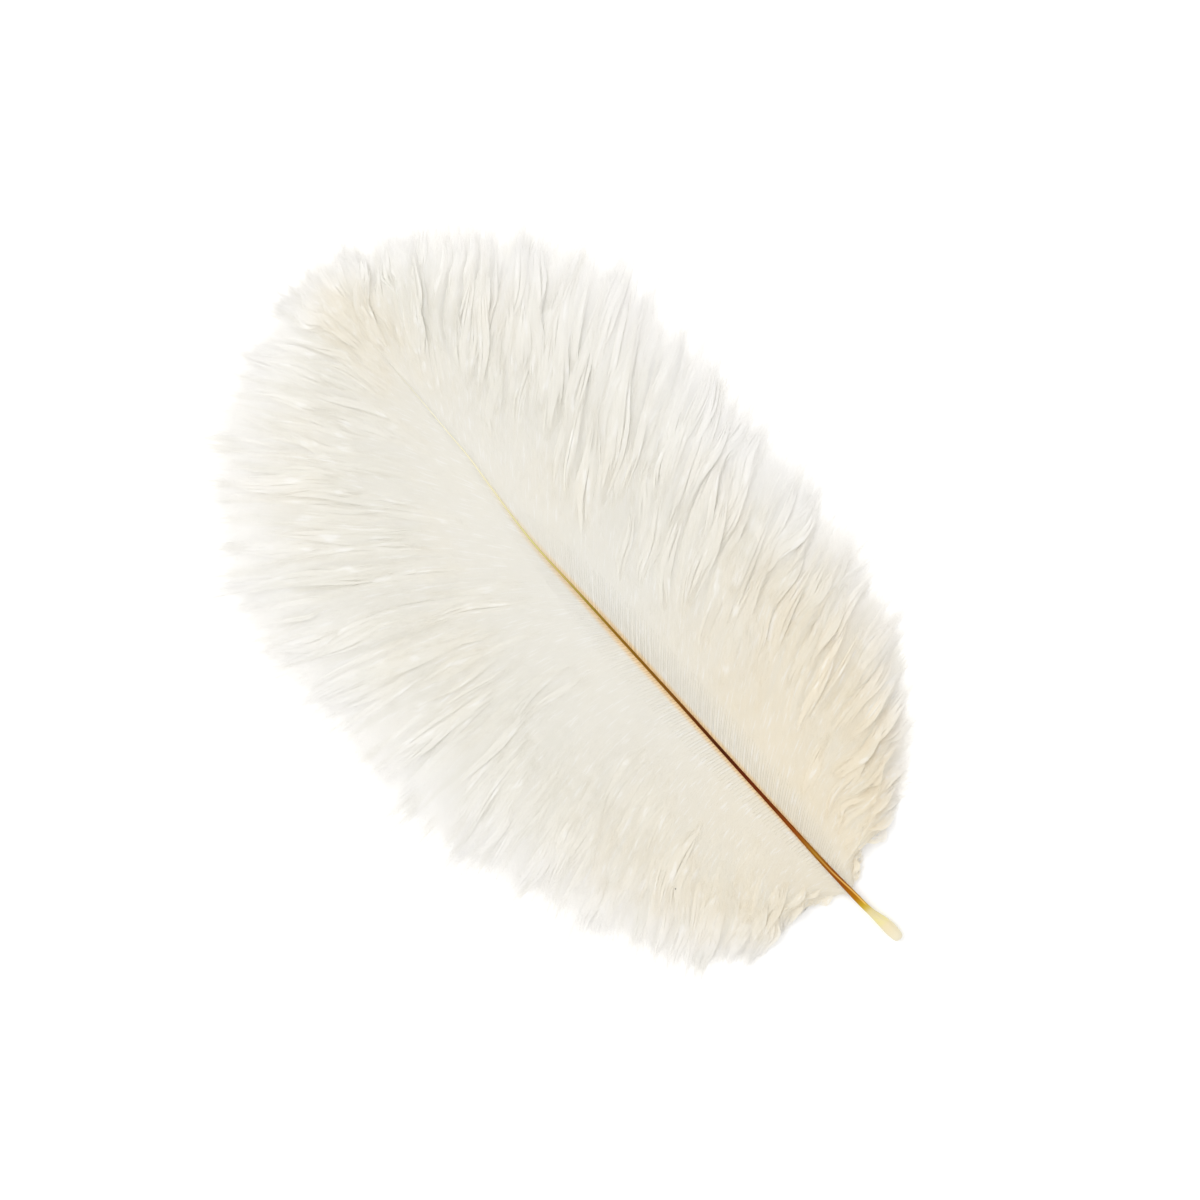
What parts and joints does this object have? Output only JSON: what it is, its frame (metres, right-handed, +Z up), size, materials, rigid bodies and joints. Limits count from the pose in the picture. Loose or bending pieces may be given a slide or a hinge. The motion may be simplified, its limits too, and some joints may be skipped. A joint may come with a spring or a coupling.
{
  "type": "ostrich feather",
  "caption": "Short ivory ostrich plume lying flat, with an amber shaft, a pale quill and two soft vanes of barbs that part into pointed locks at the edge.",
  "frame": {"origin": "on the surface the feather lies on, under the centre of its bounding box", "axes": "+Y along the shaft from the quill to the tip, +X across it towards the narrower vane, +Z up"},
  "size_m": [0.0976, 0.1604, 0.0061],
  "materials": {
    "plume": "matte",
    "shaft": "satin"
  },
  "bodies": {
    "root": {"feather": "plume"}
  },
  "joints": []
}
